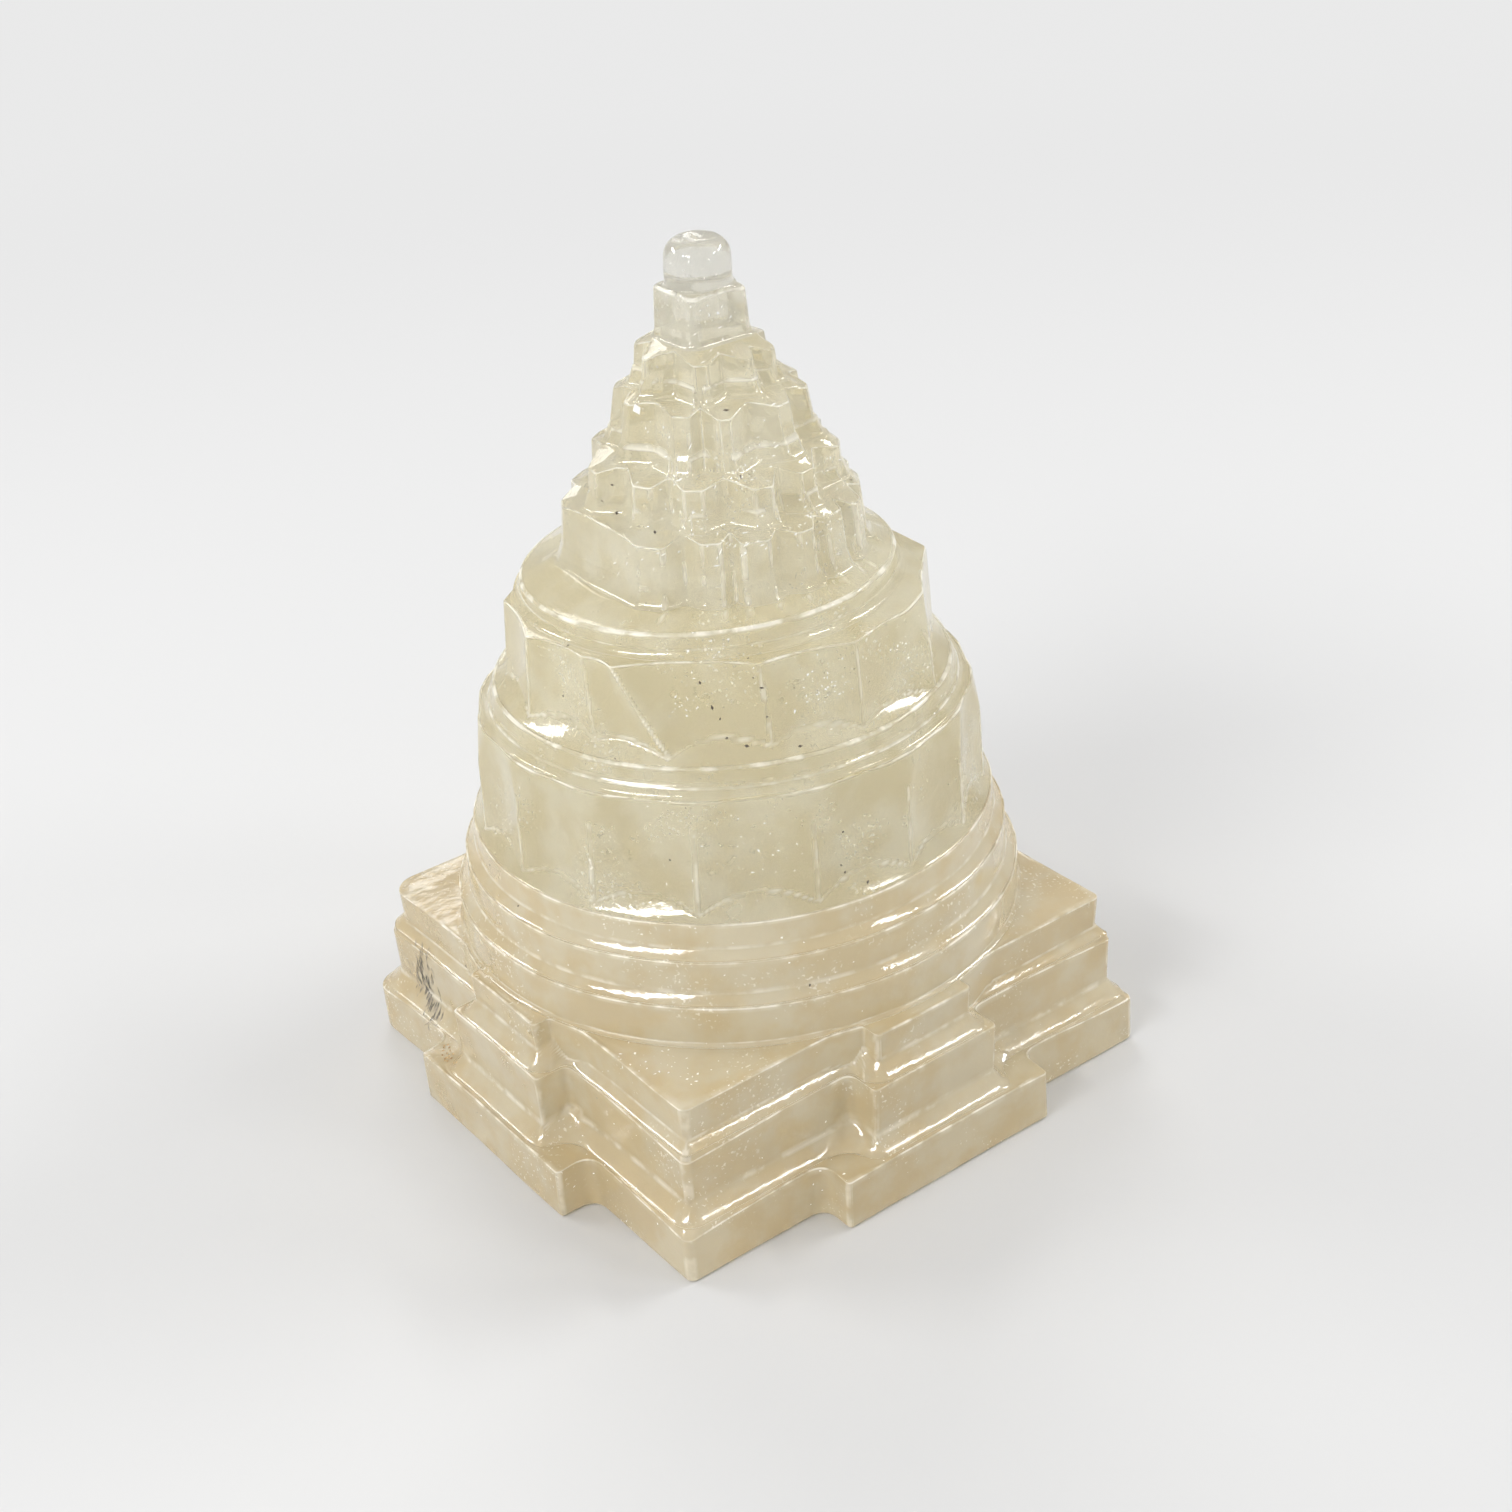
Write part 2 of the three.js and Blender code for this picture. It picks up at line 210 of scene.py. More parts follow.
class Socket:
    """A shader socket that takes part in sums, with a node for each step."""

    def __init__(self, tree, output):
        self.tree = tree
        self.output = output

    def node(self, kind, settings=(), **values):
        made = self.tree.nodes.new(kind)
        for key, value in dict(settings).items():
            setattr(made, key, value)
        for key, value in values.items():
            numbered = key[0] == "i" and key[1:].isdigit()
            socket = made.inputs[int(key[1:]) if numbered else key.replace("_", " ")]
            if isinstance(value, Socket):
                self.tree.links.new(value.output, socket)
            else:
                socket.default_value = value
        return made

    def maths(self, operation, other):
        made = self.node("ShaderNodeMath", {"operation": operation}, i0=self, i1=other)
        return Socket(self.tree, made.outputs[0])

    def __add__(self, other):
        return self.maths("ADD", other)

    __radd__ = __add__

    def __mul__(self, other):
        return self.maths("MULTIPLY", other)

    __rmul__ = __mul__

    def step(self, low, high):
        """0 below low and 1 above high, smooth between."""
        made = self.node("ShaderNodeMapRange", {"interpolation_type": "SMOOTHSTEP"},
                         Value=self, From_Min=low, From_Max=high)
        return Socket(self.tree, made.outputs["Result"])

    def mix(self, low, high):
        """The colour low where this is 0, and high where it is 1."""
        made = self.node("ShaderNodeMix", {"data_type": "RGBA"})
        self.tree.links.new(self.output, made.inputs["Factor"])
        for socket, colour in ((made.inputs[6], low), (made.inputs[7], high)):
            if isinstance(colour, Socket):
                self.tree.links.new(colour.output, socket)
            else:
                socket.default_value = (*colour, 1)
        return Socket(self.tree, made.outputs[2])


def crystal(name, colour, veil_colour, milk, clear, grooved=True):
    """Polished rock crystal. milk is how often light is scattered in a metre of it, and clear
    the share of light that passes through its skin. grooved stone keeps the wheel's scratches."""
    material = bpy.data.materials.new(name)
    material.use_nodes = True
    tree = material.node_tree
    shader = tree.nodes["Principled BSDF"]
    output = tree.nodes["Material Output"]
    place = Socket(tree, tree.nodes.new("ShaderNodeTexCoord").outputs["Object"])

    def cloud(scale, detail=2.0):
        made = place.node("ShaderNodeTexNoise", Vector=place, Scale=scale, Detail=detail)
        return Socket(tree, made.outputs["Fac"])

    def mark(attribute):
        made = place.node("ShaderNodeAttribute", {"attribute_name": attribute})
        return Socket(tree, made.outputs["Fac"])

    def over(factor, under, upper):
        made = place.node("ShaderNodeMixShader", i0=factor)
        tree.links.new(under, made.inputs[1])
        tree.links.new(upper, made.inputs[2])
        return made.outputs[0]

    veils = cloud(VEIL_WAVES[0], 4.0) * 0.62 + cloud(VEIL_WAVES[1], 3.0) * 0.38
    veils = veils.step(0.41, 0.60)
    tree.links.new(veils.mix(colour, veil_colour).output, shader.inputs["Base Color"])
    polish = cloud(POLISH_WAVES).step(0.35, 0.7) * 0.07 + 0.05
    tree.links.new(polish.output, shader.inputs["Roughness"])
    ripple = cloud(RIPPLE_WAVES[0], 3.0) + cloud(RIPPLE_WAVES[1]) * 0.18
    if grooved:
        # The wheel's fine scratches run along each groove, so they are level on the profile.
        parts = place.node("ShaderNodeSeparateXYZ", Vector=place)
        x, y = (Socket(tree, parts.outputs[axis]) for axis in "XY")
        groove = place.node("ShaderNodeCombineXYZ", X=x * 0.05, Y=y * 0.05, Z=mark("across"))
        scratches = place.node("ShaderNodeTexNoise", Vector=Socket(tree, groove.outputs[0]),
                               Scale=SCRATCH_WAVES, Detail=2.0)
        scratched = cloud(SCRATCHED_WAVES).step(0.35, 0.7)
        ripple = ripple + Socket(tree, scratches.outputs["Fac"]) * scratched * 0.05
    bump = place.node("ShaderNodeBump", Height=ripple, Strength=0.5, Distance=RIPPLE_HEIGHT)
    tree.links.new(bump.outputs["Normal"], shader.inputs["Normal"])
    shader.inputs["IOR"].default_value = QUARTZ_IOR
    shader.inputs["Transmission Weight"].default_value = clear
    # Sharp edges and inner corners are mixed in noisy patches towards a whiter, rougher and opaque
    # skin: a painted highlight, drawn as thin light lines along the edges.
    edge_highlight_shader = place.node("ShaderNodeBsdfPrincipled", Base_Color=(*EDGE_HIGHLIGHT, 1),
                       Roughness=EDGE_HIGHLIGHT_ROUGHNESS)
    painted_edge_highlight = mark("edge_highlight") * (cloud(EDGE_HIGHLIGHT_WAVES, 3.0).step(0.42, 0.62) * 0.5 + 0.08)
    # Painted glints: small spots, in patches, are mixed into the same whiter skin.
    sparks, patches = (cloud(waves) for waves in GLINT_WAVES)
    painted_glints = sparks.step(0.61, 0.70) * patches.step(0.50, 0.66) * 0.35
    skin = over(painted_edge_highlight + painted_glints, shader.outputs[0], edge_highlight_shader.outputs[0])
    # The flat seats between tiers are uncut stone, so light goes straight through them.
    skin = over(mark("seam"), skin, place.node("ShaderNodeBsdfTransparent").outputs[0])
    tree.links.new(skin, output.inputs["Surface"])
    cloudiness = place.node("ShaderNodeVolumeScatter", Color=(1, 1, 1, 1), Density=milk,
                            Anisotropy=FORWARD_SCATTER)
    tree.links.new(cloudiness.outputs[0], output.inputs["Volume"])
    return material


def smooth_max(a, b, width):
    """The larger of two lengths, with the crease between them rounded over width."""
    near = np.clip(width - np.abs(a - b), 0, None) / width
    return np.maximum(a, b) + near ** 2 * width / 4


def smooth_min(a, b, width):
    return -smooth_max(-a, -b, width)


# The most that the gates reach from the axis, then the waves to the metre and the size in
# millimetres of the wheel's slow and quick slips
LARGEST_HALF = 34.08 * MM
SLOW_SLIP = (75, 0.20)
QUICK_SLIP = (260, 0.04)


# The same slips in every run
noise.seed_set(5)


def handwork(points):
    """The slips of a hand-held wheel: points of the stone moved a little sideways."""
    moved = np.array(points)
    for i, p in enumerate(points):
        slow = noise.noise_vector(Vector(p) * SLOW_SLIP[0])
        quick = noise.noise_vector(Vector(p) * QUICK_SLIP[0])
        shift = (slow * SLOW_SLIP[1] + quick * QUICK_SLIP[1]) * MM
        moved[i, 0] += shift.x
        moved[i, 1] += shift.y
    moved[:, :2] = np.clip(moved[:, :2], -LARGEST_HALF, LARGEST_HALF)
    return moved


def all_round(count):
    return np.arange(count) * 2 * math.pi / count


def off_centre(radius, bearings, shift):
    """Radii about the axis of an outline whose own centre is moved by shift."""
    along = np.cos(bearings) * shift[0] + np.sin(bearings) * shift[1]
    across = np.cos(bearings) * shift[1] - np.sin(bearings) * shift[0]
    return along + np.sqrt(radius ** 2 - across ** 2)


# Bend at which an edge starts to get the painted highlight and how much more gives it fully, at
# an outer edge and at an inner corner, with the share that an upright edge and an inner corner get
OUTER_BEND = (0.11, 0.16)
INNER_BEND = (0.22, 0.3)
UPRIGHT_SHARE = 0.5
INNER_SHARE = 0.6
NEAR_ZERO = 1e-12


def edge_sharpness(rings):
    """How sharp the stone's edge is at each point, from 0 on smooth stone to 1, which sets where
    the painted edge highlight goes. An inner corner counts for less than an outer one."""
    across = np.roll(rings, 1, axis=1) - np.roll(rings, -1, axis=1)
    along = np.zeros_like(rings)
    along[1:-1] = rings[2:] - rings[:-2]
    out = np.cross(along, across)
    out /= np.linalg.norm(out, axis=2, keepdims=True) + NEAR_ZERO

    def turn(before, here, after):
        a, b = here - before, after - here
        a /= np.linalg.norm(a, axis=2, keepdims=True) + NEAR_ZERO
        b /= np.linalg.norm(b, axis=2, keepdims=True) + NEAR_ZERO
        return a - b

    bends = np.zeros((2, *out.shape[:2]))
    upright_turn = turn(np.roll(rings, 1, axis=1), rings, np.roll(rings, -1, axis=1))
    bends[0] = (upright_turn * out).sum(axis=2)
    bends[1, 1:-1] = (turn(rings[:-2], rings[1:-1], rings[2:]) * out[1:-1]).sum(axis=2)
    bends[:, (0, -1)] = 0
    upright, level = np.clip((bends - OUTER_BEND[0]) / OUTER_BEND[1], 0, 1)
    inner = np.clip((-bends.min(axis=0) - INNER_BEND[0]) / INNER_BEND[1], 0, 1)
    return np.maximum(np.maximum(UPRIGHT_SHARE * upright, level), INNER_SHARE * inner)


# Rows of points up a cove, round an edge and across a tread, and the stone carved so far
COVE_ROWS = 12
EDGE_ANGLES = (18, 36, 54, 72, 90)
TREAD_PARTS = (0.15, 0.35, 0.6, 0.8, 1.0)
TOP_MIDDLE = 0.2
carved = []


def carve(node, material, bearings, wall, foot, cove, edge, slope=0.0, carried=None, rows=8,
          highlight_strength=1.0):
    """A tier as one closed mesh of rings of points, from its foot up.

    wall(bearings, share) gives its radii at a share of its height, and foot(bearings, inset) the
    line where its cove runs out on the tier below, moved in by inset. cove is the cove's depth,
    its rise and how curved it is. The tread falls by slope from the foot of the carried tier to
    the top edge, which is rounded over edge. highlight_strength is how strongly the sharp edges
    get the painted highlight.
    """
    low, high = (corner.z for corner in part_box(node))
    bottom = low if low < MM else low + SEAM_GAP
    top = high if carried is None else high - SEAM_GAP
    depth, rise, curve = cove
    rings = []

    def side(height):
        share = (height - low) / (high - low)
        risen = np.clip((height - bottom) / rise, 0, 1) ** curve
        above = np.clip(height - bottom - rise, 0, None)
        return smooth_max(wall(bearings, share), foot(bearings, depth * risen + above), CREASE)

    def add(radius, height):
        rings.append(np.column_stack([radius * np.cos(bearings), radius * np.sin(bearings),
                                      np.broadcast_to(height, bearings.shape)]))

    rim = side(top) - edge
    if carried is None:
        inner = rim * TOP_MIDDLE
    else:
        inner = np.minimum(carried(bearings, 0), rim - 0.03 * MM)
    lip = top - slope * np.maximum(rim - inner.mean(), 0)
    add(foot(bearings, 0), bottom)
    for part in np.linspace(0, 1, COVE_ROWS + 1)[1:]:
        height = bottom + rise * part ** 2
        add(side(height), height)
    for part in np.linspace(0, 1, rows + 1)[1:]:
        height = bottom + rise + (lip - edge - bottom - rise) * part
        add(side(height), height)
    for angle in np.radians(EDGE_ANGLES):
        height = lip - edge * (1 - math.sin(angle))
        add(side(height) - edge * (1 - math.cos(angle)), height)
    rim = side(lip) - edge
    for part in TREAD_PARTS:
        rise_share = 1 - (1 - part) ** 2 if carried is None else part
        height = lip + (top - lip) * rise_share - TREAD_DISH * math.sin(math.pi * part)
        add(rim + (inner - rim) * part, height)

    count = len(bearings)
    last = (len(rings) - 1) * count
    # Painted edge highlight: how far each point is whitened, from the sharpness of its edges
    edge_highlight = edge_sharpness(np.stack(rings)) * highlight_strength
    lengths = np.linalg.norm(np.diff(np.stack(rings), axis=0), axis=2)
    across = np.concatenate([np.zeros((1, len(bearings))), np.cumsum(lengths, axis=0)])
    points = handwork(np.concatenate(rings + [rings[0].mean(axis=0, keepdims=True),
                                              rings[-1].mean(axis=0, keepdims=True)]))
    bottom_middle, top_middle = len(points) - 2, len(points) - 1
    faces = []
    for row in range(len(rings) - 1):
        a = row * count
        for i in range(count):
            j = (i + 1) % count
            faces.append((a + i, a + j, a + count + j, a + count + i))
    walls = len(faces)
    for i in range(count):
        j = (i + 1) % count
        faces.append((bottom_middle, j, i))
        faces.append((top_middle, last + i, last + j))
    mesh = bpy.data.meshes.new(node)
    mesh.from_pydata(points.tolist(), [], faces)
    mesh.shade_smooth()
    seam = mesh.attributes.new("seam", "FLOAT", "FACE")
    hidden = np.zeros(len(faces), np.float32)
    if bottom > low:
        hidden[walls::2] = 1
    if carried is not None:
        hidden[walls + 1::2] = 1
    seam.data.foreach_set("value", hidden)
    for attribute, values in (("edge_highlight", edge_highlight), ("across", across)):
        ends = (values[0].mean(), values[-1].mean())
        written = mesh.attributes.new(attribute, "FLOAT", "POINT")
        written.data.foreach_set("value", np.append(values.ravel(), ends).astype(np.float32))
    mesh.materials.append(material)
    piece = bpy.data.objects.new("stone_" + node, mesh)
    bpy.context.scene.collection.objects.link(piece)
    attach(piece, "root")
    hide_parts(node)
    carved.append(BVHTree.FromPolygons(points.tolist(), faces))
    return piece


clear_crystal = crystal("crystal_clear", (0.80, 0.785, 0.71), (0.93, 0.92, 0.86), 60, 0.92,
                        grooved=False)
bindu_low, bindu_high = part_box("bindu")
bindu_radius = (bindu_high.x - bindu_low.x) / 2
bindu_height = bindu_high.z - bindu_low.z


def bindu_wall(bearings, share):
    height = share * bindu_height
    over = np.clip((height - bindu_height + BINDU_RISE + BINDU_SHOULDER) / BINDU_SHOULDER, 0, 1)
    drop = BINDU_SHOULDER * (1 - np.sqrt(1 - over ** 2))
    radius = bindu_radius * (1 - BINDU_TAPER * share) - drop
    return off_centre(radius, bearings, TOP_SHIFT)


def bindu_foot(bearings, inset):
    return off_centre(bindu_radius + BINDU_SKIRT, bearings, TOP_SHIFT) - inset


bindu = carve("bindu", clear_crystal, all_round(96), bindu_wall, bindu_foot,
              (0.3 * MM, 0.4 * MM, 0.5), 0.02 * MM, slope=0.32, rows=24)


# Seat of the bindu: a small square of the same clear crystal, in line with the steps at the
# foot. Its corners are rubbed soft, and it stands for the innermost triangle.
SEAT_FOOT = 3.6 * MM
SEAT_TOP = 3.35 * MM
SEAT_CORNER = 1.2 * MM
SEAT_SKIRT = 0.45 * MM
FURTHEST_OUT = 60 * MM
HALVINGS = 26


def rounded_box(x, y, half_x, half_y, corner):
    """Distance from a rectangle with rounded corners, below 0 inside it."""
    over_x = np.abs(x) - half_x + corner
    over_y = np.abs(y) - half_y + corner
    outside = np.hypot(np.maximum(over_x, 0), np.maximum(over_y, 0))
    return outside + np.minimum(np.maximum(over_x, over_y), 0) - corner


def outline(plan, bearings, inset=0.0):
    """Radii at these bearings of the line that plan puts at this distance inside an outline."""
    inner = np.zeros(len(bearings))
    outer = np.full(len(bearings), FURTHEST_OUT)
    cos, sin = np.cos(bearings), np.sin(bearings)
    for _ in range(HALVINGS):
        middle = (inner + outer) / 2
        inside = plan(middle * cos, middle * sin) < -inset
        inner = np.where(inside, middle, inner)
        outer = np.where(inside, outer, middle)
    return inner


def seat_plan(x, y):
    return rounded_box(x - TOP_SHIFT[0], y - TOP_SHIFT[1], SEAT_FOOT, SEAT_FOOT, SEAT_CORNER)


def seat_wall(bearings, share):
    return outline(seat_plan, bearings, (SEAT_FOOT - SEAT_TOP) * share)


def seat_foot(bearings, inset):
    return outline(seat_plan, bearings, inset - SEAT_SKIRT)


seat_crystal = crystal("crystal_seat", (0.83, 0.79, 0.65), (0.95, 0.93, 0.83), 60, 0.85)
seat = carve("bindu_seat", seat_crystal, all_round(144), seat_wall, seat_foot,
             (0.5 * MM, 0.9 * MM, 0.5), 0.35 * MM, slope=0.25, carried=bindu_foot)


# Star tiers: four crowns of points, cut with the edge of a wheel into round tiers whose treads
# fall outwards. Their points stand for the triangles of the flat yantra.
FLAT_BEARING = math.radians(235)
TREAD_FALL = math.tan(math.radians(25))
TIP_FLAT = 9
STAR_LEDGE = 0.35 * MM
STAR_SKIRT = 0.9 * MM
STAR_MARGIN = 0.3 * MM
UPPER_PLATE_TOP = 18.8 * MM
UPPER_PLATE_FLAT = 0.8 * MM
UPPER_PLATE_SHIFT = (-0.5 * MM, 0.35 * MM)
UPPER_PLATE_SHOULDER = 1.6 * MM
# Node, bearings of the points, radius to points and valleys, taper, flat side, off centre by
STARS = [
    ("star_eight_points", (38, 88, 138, 182, 237, 279, 309, 352),
     7.2, 5.5, 0.920, 0.0, (0.5, -0.3)),
    ("star_ten_points_inner", (28, 62, 98, 136, 176, 221, 247, 288, 321, 352),
     10.2, 8.4, 0.900, 0.2, (0.75, -0.5)),
    ("star_ten_points_outer", (34, 78, 124, 168, 203, 228, 259, 285, 322, 357),
     12.8, 10.8, 0.975, 0.4, (0.55, -0.35)),
    ("star_fourteen_points", (12, 38, 64, 92, 120, 150, 211, 234, 251, 272, 290, 306, 326, 348),
     15.5, 13.8, 0.960, 0.6, (0.25, -0.15)),
]


def chords(corners, bearings):
    """Radii of a straight-sided outline, and how far along its side each bearing is. corners are
    bearings in degrees, rising, with their radii."""
    turn, radius = np.array(corners + [(corners[0][0] + 360, corners[0][1])]).T
    turn = np.radians(turn)
    place = np.mod(bearings - turn[0], 2 * math.pi) + turn[0]
    side = np.clip(np.searchsorted(turn, place, side="right") - 1, 0, len(corners) - 1)
    after = place - turn[side]
    before = turn[side + 1] - place
    a, b = radius[side], radius[side + 1]
    line = a * b * np.sin(after + before) / (a * np.sin(after) + b * np.sin(before))
    return line, after / (after + before)


def ground_flat(bearings, flat, edge):
    """How much smaller a round tier is on the side that is ground flatter."""
    return 1 - flat * np.clip(np.cos(bearings - FLAT_BEARING), 0, None) / edge


def star_line(star, bearings, share):
    """Radii of a star tier: blunt points, each a little longer or wider than the next."""
    _, tips, tip, valley, taper, flat, shift = star
    corners = []
    for i, bearing in enumerate(tips):
        after = tips[(i + 1) % len(tips)] + (360 if i == len(tips) - 1 else 0)
        uneven = 1 + 0.02 * math.sin(2.4 * i)
        flat_half = TIP_FLAT * (0.5 + 0.2 * math.sin(3.1 * i + tip))
        corners += [(bearing - flat_half, tip * uneven), (bearing + flat_half, tip * uneven),
                    (bearing * 0.5 + after * 0.5, valley * (1.02 + 0.02 * math.sin(1.7 * i)))]
    soft = 0.2 / tip
    line = sum(chords(corners, bearings + turn)[0] for turn in (-soft, 0, soft)) / 3
    line = line * (1 - (1 - taper) * share) * ground_flat(bearings, flat, tip)
    return off_centre(line * MM, bearings, (shift[0] * MM, shift[1] * MM))


def plate_line(radius, flat, shift, bearings):
    return off_centre(radius * ground_flat(bearings, flat, radius), bearings, shift)


pale_crystal = crystal("crystal_upper", (0.85, 0.77, 0.53), (0.96, 0.91, 0.72), 55, 0.80)
carried = seat_foot
for level, star in enumerate(STARS):
    def edge_below(bearings, level=level):
        if level + 1 < len(STARS):
            return star_line(STARS[level + 1], bearings, 1)
        return plate_line(UPPER_PLATE_TOP - UPPER_PLATE_SHOULDER, UPPER_PLATE_FLAT,
                          UPPER_PLATE_SHIFT, bearings)

    def star_wall(bearings, share, star=star, carried=carried):
        return np.maximum(star_line(star, bearings, share), carried(bearings, 0) + STAR_LEDGE)

    def star_foot(bearings, inset, wall=star_wall, edge_below=edge_below):
        foot = wall(bearings, 0)
        reach = edge_below(bearings) - STAR_MARGIN
        return np.clip(reach, foot + 0.05 * MM, foot + STAR_SKIRT) - inset

    piece = carve(star[0], pale_crystal, all_round(480), star_wall, star_foot,
                  (0.9 * MM, 1.5 * MM, 0.5), 0.14 * MM, slope=TREAD_FALL, carried=carried, rows=12,
                  highlight_strength=0.8)
    carried = star_foot


# Upper round plate: a low drum of straw-coloured crystal under the stars. It is turned against
# the flat of the wheel, and its shoulder is rubbed soft.
straw_crystal = crystal("crystal_middle", (0.85, 0.755, 0.48), (0.96, 0.90, 0.67), 75, 0.72)
UPPER_PLATE_FOOT = 19.2 * MM
UPPER_PLATE_SKIRT = 0.6 * MM


def upper_plate_wall(bearings, share):
    radius = UPPER_PLATE_FOOT + (UPPER_PLATE_TOP - UPPER_PLATE_FOOT) * share
    return plate_line(radius, UPPER_PLATE_FLAT, UPPER_PLATE_SHIFT, bearings)


def upper_plate_foot(bearings, inset):
    return upper_plate_wall(bearings, 0) + UPPER_PLATE_SKIRT - inset


upper_plate = carve("round_plate_upper", straw_crystal, all_round(288), upper_plate_wall,
                    upper_plate_foot, (0.6 * MM, 0.6 * MM, 0.5), 0.35 * MM,
                    slope=0.5, carried=carried)


# Lotus of eight petals: flat petals between upright corners, hollowed a little by the wheel. A
# cone takes off their upper corners, and a steep skirt at their feet runs out to the tier below.
# Corner's bearing at the foot and at the top, and its radius in millimetres
EIGHT_CORNERS = [
    (16, 16, 21.8), (60, 60, 21.8), (105, 105, 21.6), (150, 150, 22.2), (174, 174, 22.5),
    (199, 195, 21.9), (221, 205, 22.5), (247, 245, 22.0), (272, 272, 22.6), (300, 300, 23.5),
    (335, 335, 22.6)]
EIGHT_LEAN = 0.7
EIGHT_CONE = (24.6, 21.7)
EIGHT_FLAT = 0.7
EIGHT_SKIRT = 2.6 * MM
HOLLOW_GRIND = 0.018
LOWER_PLATE = (24.4, 23.7)
LOWER_PLATE_FLAT = 1.1


def petal_wall(corners, lean, cone, flat, bearings, share):
    """Radii of a lotus: sides ground hollow between their corners, cut off above by the cone."""
    level = float(np.mean(share))
    edge = corners[0][2]
    turned = sorted((foot + (top - foot) * level, radius - lean * level)
                    for foot, top, radius in corners)
    line, along = chords(turned, bearings)
    line = line - HOLLOW_GRIND * edge * 4 * along * (1 - along)
    cut = smooth_min(line, cone[0] + (cone[1] - cone[0]) * share, 0.15)
    return cut * ground_flat(bearings, flat, edge) * MM


def petal_foot(wall, edge, flat, skirt, bearings, inset):
    """The skirt runs out to this edge of the tier below, but no further than skirt."""
    reach = edge * ground_flat(bearings, flat * MM, edge)
    foot = wall(bearings, 0)
    return np.clip(reach, foot + 0.05 * MM, foot + skirt) - inset


def eight_wall(bearings, share):
    return petal_wall(EIGHT_CORNERS, EIGHT_LEAN, EIGHT_CONE, EIGHT_FLAT, bearings, share)


def eight_foot(bearings, inset):
    edge = (LOWER_PLATE[1] - 0.3) * MM
    return petal_foot(eight_wall, edge, LOWER_PLATE_FLAT, EIGHT_SKIRT, bearings, inset)


eight = carve("lotus_eight_petals", straw_crystal, all_round(540), eight_wall, eight_foot,
              (2.4 * MM, 2.4 * MM, 0.85), 0.14 * MM, slope=0.15, carried=upper_plate_foot, rows=40)


# Lower round plate: a low drum of the same straw-coloured crystal between the two lotuses, its
# wall battered a little and ground flatter at the front corner.
LOWER_PLATE_SKIRT = 0.7 * MM


def lower_plate_wall(bearings, share):
    radius = (LOWER_PLATE[0] + (LOWER_PLATE[1] - LOWER_PLATE[0]) * share) * MM
    return radius * ground_flat(bearings, LOWER_PLATE_FLAT * MM, radius)


def lower_plate_foot(bearings, inset):
    return lower_plate_wall(bearings, 0) + LOWER_PLATE_SKIRT - inset


lower_plate = carve("round_plate_lower", straw_crystal, all_round(320), lower_plate_wall,
                    lower_plate_foot, (0.7 * MM, 0.9 * MM, 0.5), 0.3 * MM, slope=0.1,
                    carried=eight_foot)


# Lotus of sixteen petals: the wider and lower one, cut in the same way as the eight. Its
# petals are narrower and stand nearly upright on the upper ring.
SIXTEEN_CORNERS = [
    (bearing, bearing, 26.7)
    for bearing in (4, 26, 48, 70, 91, 113, 135, 157, 179, 201, 226, 253, 278, 299, 321, 342)]
SIXTEEN_LEAN = 0.3
SIXTEEN_CONE = (28.3, 25.7)
SIXTEEN_FLAT = 1.6
SIXTEEN_SKIRT = 2.0 * MM
UPPER_RING_TOP = 27.5
RING_FLAT = 1.7


def sixteen_wall(bearings, share):
    return petal_wall(SIXTEEN_CORNERS, SIXTEEN_LEAN, SIXTEEN_CONE, SIXTEEN_FLAT, bearings, share)


def sixteen_foot(bearings, inset):
    edge = (UPPER_RING_TOP - 0.2) * MM
    return petal_foot(sixteen_wall, edge, RING_FLAT, SIXTEEN_SKIRT, bearings, inset)


sixteen = carve("lotus_sixteen_petals", straw_crystal, all_round(640), sixteen_wall, sixteen_foot,
                (1.6 * MM, 2.2 * MM, 0.85), 0.14 * MM, slope=0.15, carried=lower_plate_foot,
                rows=44)


# Rings: three low round steps of the warm, milky base crystal, the trivalaya. The rim of the
# wheel leaves a wide cove at the foot of each.
honey_crystal = crystal("crystal_base", (0.89, 0.735, 0.455), (0.97, 0.87, 0.64), 90, 0.64)
# Node, radius at the foot and at the top, radius of the tier below at its edge, width of the
# cove, all in millimetres
RINGS = [
    ("ring_upper", 27.75, UPPER_RING_TOP, 28.8, 0.9),
    ("ring_middle", 28.9, 28.8, 30.1, 0.9),
    ("ring_lower", 30.1, 30.1, None, 0.4),
]
UPPER_STEP_HALF = 27.4 * MM
UPPER_GATE_REACH = 30.6 * MM
UPPER_GATE_HALF = 6.2 * MM
UPPER_STEP_HOLLOW = 0.9 * MM
GATE_CORNER = 0.5 * MM
STEP_CORNER = 0.9 * MM
# The corner between the left side and the far one is worn round, and its side leans out to it.
WORN_CORNER = 3.0 * MM
WORN_CORNER_OUT = 0.9 * MM
LEAN_BEFORE_MIDDLE = 15 * MM
LEAN_LENGTH = 45 * MM


def step_plan(x, y, half, gate, reach, hollow):
    """Distance from a square step with a gate in each side, below 0 inside it."""
    leaning = np.where((x < 0) & (y > -LEAN_BEFORE_MIDDLE),
                       (y + LEAN_BEFORE_MIDDLE) / LEAN_LENGTH * WORN_CORNER_OUT, 0)
    corner = np.where((x < 0) & (y > 0), WORN_CORNER, STEP_CORNER)
    square = rounded_box(x + leaning, y, half, half, corner)
    gates = smooth_min(rounded_box(x, y, reach, gate, GATE_CORNER),
                       rounded_box(x, y, gate, reach, GATE_CORNER), 0.1 * MM)
    whole = smooth_min(square, gates, hollow)
    if half < RINGS[2][1] * MM:
        # The lowest ring reaches past the middle of each side, so the steps swell out under it.
        swell = (RINGS[2][1] + 0.5) * MM
        flatter = ground_flat(np.arctan2(y, x), RING_FLAT * MM, swell)
        whole = smooth_min(whole, np.hypot(x, y) - swell * flatter, 0.4 * MM)
    return whole


def upper_step_plan(x, y):
    return step_plan(x, y, UPPER_STEP_HALF, UPPER_GATE_HALF, UPPER_GATE_REACH, UPPER_STEP_HOLLOW)


